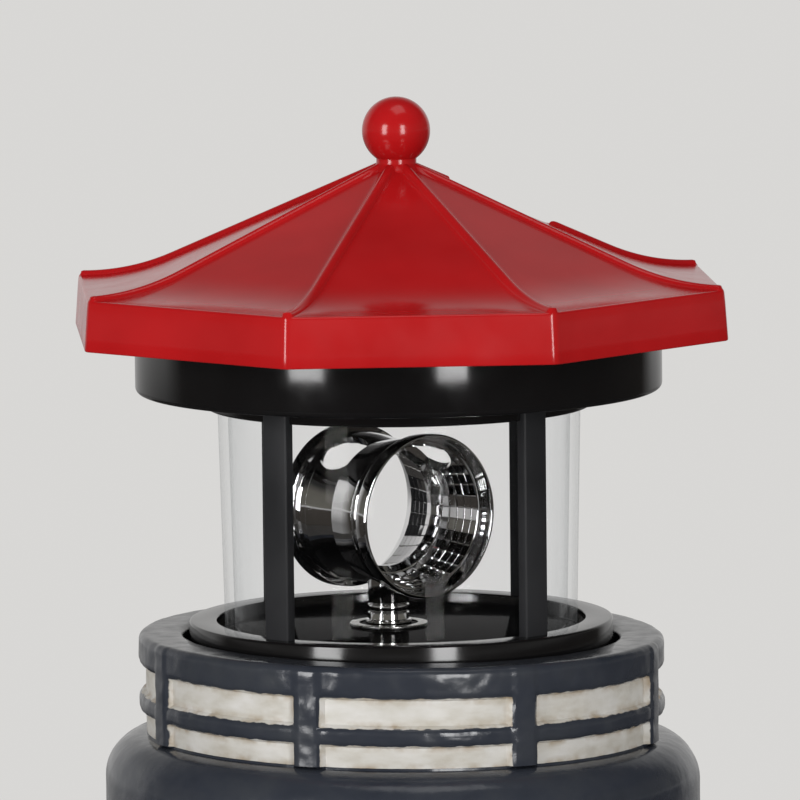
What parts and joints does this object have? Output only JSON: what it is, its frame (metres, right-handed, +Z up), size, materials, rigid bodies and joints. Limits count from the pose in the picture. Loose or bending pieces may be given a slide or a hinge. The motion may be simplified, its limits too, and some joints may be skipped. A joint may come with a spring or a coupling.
{
  "type": "garden lighthouse ornament",
  "caption": "Solar garden lighthouse: cast tower with gallery, lift-off lantern in a clear sleeve, geared turning beacon reflector, red octagonal roof with solar panel.",
  "frame": {"origin": "centre of the tower's base, on the ground", "axes": "+Z up, -Y out of the front with the door, +X to the right seen from the front"},
  "size_m": [0.136, 0.136, 0.356],
  "materials": {
    "cast_resin": "painted, weathered satin",
    "roof_red": "high gloss",
    "black_gloss": "high gloss",
    "black_satin": "satin",
    "clear_sleeve": "clear, polished",
    "chrome_plate": "mirror",
    "bush_steel": "turned",
    "gear_nylon": "satin",
    "frame_plastic": "satin",
    "motor_steel": "drawn",
    "screw_steel": "plated",
    "solar_cell": "gloss under clear resin",
    "cell_wrap": "gloss",
    "board_green": "satin",
    "lamp_clear": "clear",
    "lead_jacket": "satin"
  },
  "bodies": {
    "tower": {"tower_casting": "cast_resin"},
    "lantern": {"roof_shell": "roof_red", "roof_base": "black_gloss", "deck_plate": "black_gloss", "front_left_post": "black_satin", "front_right_post": "black_satin", "rear_right_post": "black_satin", "rear_left_post": "black_satin", "mechanism_case": "black_satin", "battery_door": "black_satin", "battery_holder": "black_satin", "switch_body": "black_satin", "glazing_sleeve": "clear_sleeve", "bearing_bush": "bush_steel", "gear_plate": "frame_plastic", "lamp_stem": "frame_plastic", "motor_can": "motor_steel", "idler_axle": "motor_steel", "battery_spring": "motor_steel", "battery_contact": "motor_steel", "roof_screws": "screw_steel", "case_screws": "screw_steel", "gear_plate_screws": "screw_steel", "motor_screws": "screw_steel", "battery_door_screw": "screw_steel", "solar_panel": "solar_cell", "battery_cell": "cell_wrap", "circuit_board": "board_green", "lamp": "lamp_clear", "panel_lead": "lead_jacket", "lamp_lead": "lead_jacket", "motor_lead": "lead_jacket", "battery_leads": "lead_jacket"},
    "beacon": {"beacon_shaft": "chrome_plate", "front_reflector_cup": "chrome_plate", "rear_reflector_cup": "chrome_plate", "drive_gear": "gear_nylon"},
    "idler": {"idler_gear": "gear_nylon"},
    "motor_rotor": {"motor_shaft": "motor_steel", "motor_pinion": "gear_nylon"},
    "switch": {"switch_knob": "black_satin"}
  },
  "joints": [
    {"name": "lantern_lift", "type": "slide", "parent": "tower", "child": "lantern", "axis": [0, 0, 1], "range_m": [0, 0.05]},
    {"name": "beacon_spin", "type": "hinge", "parent": "lantern", "child": "beacon", "pos_m": [-0.0025, 0, 0.25], "axis": [0, 0, 1], "continuous": true},
    {"name": "idler_spin", "type": "hinge", "parent": "lantern", "child": "idler", "pos_m": [0.0155, 0, 0.2355], "axis": [0, 0, 1], "continuous": true},
    {"name": "motor_spin", "type": "hinge", "parent": "lantern", "child": "motor_rotor", "pos_m": [0.0155, 0.015, 0.232], "axis": [0, 0, 1], "continuous": true},
    {"name": "switch_slide", "type": "slide", "parent": "lantern", "child": "switch", "axis": [1, 0, 0], "range_m": [0, 0.002]}
  ],
  "couplings": [
    {"joint": "idler_spin", "follows": "beacon_spin", "ratio": -5},
    {"joint": "motor_spin", "follows": "beacon_spin", "ratio": 20}
  ]
}
